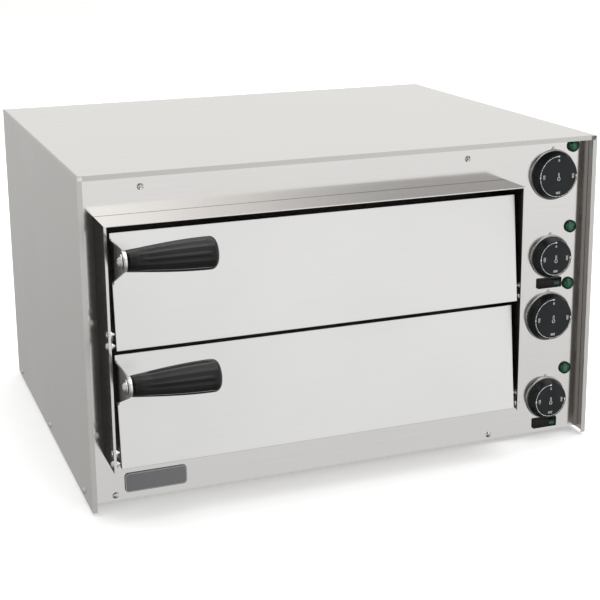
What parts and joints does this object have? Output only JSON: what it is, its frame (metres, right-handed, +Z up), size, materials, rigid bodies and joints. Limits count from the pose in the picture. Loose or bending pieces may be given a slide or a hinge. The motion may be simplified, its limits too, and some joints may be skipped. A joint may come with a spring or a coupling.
{
  "type": "countertop pizza oven",
  "caption": "Stainless countertop pizza oven with stacked chambers behind drop-down doors in a shared hood, moulded handles, and a column of thermostat knobs, lamps and rocker switches.",
  "frame": {"origin": "centre of the overall bounding box in x and y, at the surface that the feet stand on", "axes": "+X to the oven's right seen from its front, +Y to its back, +Z up; the doors face -Y"},
  "size_m": [0.5538, 0.537, 0.335],
  "materials": {
    "stainless": "satin brushed stainless sheet",
    "door_steel": "polished stainless sheet",
    "inner_steel": "mill-finish aluminised steel",
    "fastener_steel": "bright zinc and stainless",
    "bezel": "bright trim ring",
    "element_sheath": "heat-darkened sheath",
    "bakelite": "glossy moulded phenolic",
    "knob_plastic": "satin moulded plastic",
    "switch_plastic": "black moulded plastic",
    "lamp_lens": "translucent green plastic",
    "lamp_body": "black plastic",
    "refractory": "porous refractory stone",
    "wool": "ceramic fibre blanket",
    "foot_rubber": "matt rubber",
    "gland_plastic": "black nylon",
    "switchgear": "cream moulded case",
    "badge": "plain satin plate",
    "bulb_metal": "copper sensing bulb"
  },
  "bodies": {
    "root": {"casing": "stainless", "front_panel": "stainless", "back_panel": "stainless", "base_pan": "stainless", "feet": "foot_rubber", "top_rail": "inner_steel", "partition": "inner_steel", "hood": "stainless", "hood_rivets": "fastener_steel", "housing_screws": "fastener_steel", "badge_plate": "badge", "lower_liner": "inner_steel", "upper_liner": "inner_steel", "insulation": "wool", "lower_stone": "refractory", "upper_stone": "refractory", "stone_rails": "inner_steel", "lower_floor_element": "element_sheath", "lower_roof_element": "element_sheath", "upper_floor_element": "element_sheath", "upper_roof_element": "element_sheath", "sensor_bulbs": "bulb_metal", "hinge_screws": "fastener_steel", "hinge_nuts": "fastener_steel", "hinge_washers": "fastener_steel", "stop_studs": "fastener_steel", "knob_bezels": "bezel", "thermostats": "switchgear", "lamp_lenses": "lamp_lens", "lamp_bodies": "lamp_body", "switch_housings": "switch_plastic", "cable_gland": "gland_plastic", "gland_nut": "gland_plastic", "terminal_block": "switchgear"},
    "upper_door": {"upper_door_face": "door_steel", "upper_door_left_end": "inner_steel", "upper_door_right_end": "inner_steel", "upper_door_liner": "inner_steel", "upper_door_insulation": "wool", "upper_handle": "bakelite", "upper_handle_screw": "fastener_steel", "upper_handle_ferrule": "fastener_steel"},
    "lower_door": {"lower_door_face": "door_steel", "lower_door_left_end": "inner_steel", "lower_door_right_end": "inner_steel", "lower_door_liner": "inner_steel", "lower_door_insulation": "wool", "lower_handle": "bakelite", "lower_handle_screw": "fastener_steel", "lower_handle_ferrule": "fastener_steel"},
    "knob_1": {"knob_1": "knob_plastic", "spindle_1": "fastener_steel"},
    "knob_2": {"knob_2": "knob_plastic", "spindle_2": "fastener_steel"},
    "knob_3": {"knob_3": "knob_plastic", "spindle_3": "fastener_steel"},
    "knob_4": {"knob_4": "knob_plastic", "spindle_4": "fastener_steel"},
    "upper_rocker": {"upper_rocker": "switch_plastic"},
    "lower_rocker": {"lower_rocker": "switch_plastic"}
  },
  "joints": [
    {"name": "upper_door_hinge", "type": "hinge", "parent": "root", "child": "upper_door", "pos_m": [-0.0415, -0.21277, 0.1781], "axis": [1, 0, 0], "range_deg": [0, 90]},
    {"name": "lower_door_hinge", "type": "hinge", "parent": "root", "child": "lower_door", "pos_m": [-0.0415, -0.21277, 0.0609], "axis": [1, 0, 0], "range_deg": [0, 90]},
    {"name": "knob_1_turn", "type": "hinge", "parent": "root", "child": "knob_1", "pos_m": [0.231, -0.17547, 0.2935], "axis": [0, 1, 0], "range_deg": [0, 270]},
    {"name": "knob_2_turn", "type": "hinge", "parent": "root", "child": "knob_2", "pos_m": [0.231, -0.17547, 0.2047], "axis": [0, 1, 0], "range_deg": [0, 270]},
    {"name": "knob_3_turn", "type": "hinge", "parent": "root", "child": "knob_3", "pos_m": [0.231, -0.17547, 0.138], "axis": [0, 1, 0], "range_deg": [0, 270]},
    {"name": "knob_4_turn", "type": "hinge", "parent": "root", "child": "knob_4", "pos_m": [0.231, -0.17547, 0.0452], "axis": [0, 1, 0], "range_deg": [0, 270]},
    {"name": "upper_rocker_tip", "type": "hinge", "parent": "root", "child": "upper_rocker", "pos_m": [0.231, -0.17197, 0.1754], "axis": [0, 0, 1], "range_deg": [0, 16]},
    {"name": "lower_rocker_tip", "type": "hinge", "parent": "root", "child": "lower_rocker", "pos_m": [0.231, -0.17197, 0.0159], "axis": [0, 0, 1], "range_deg": [0, 16]}
  ]
}
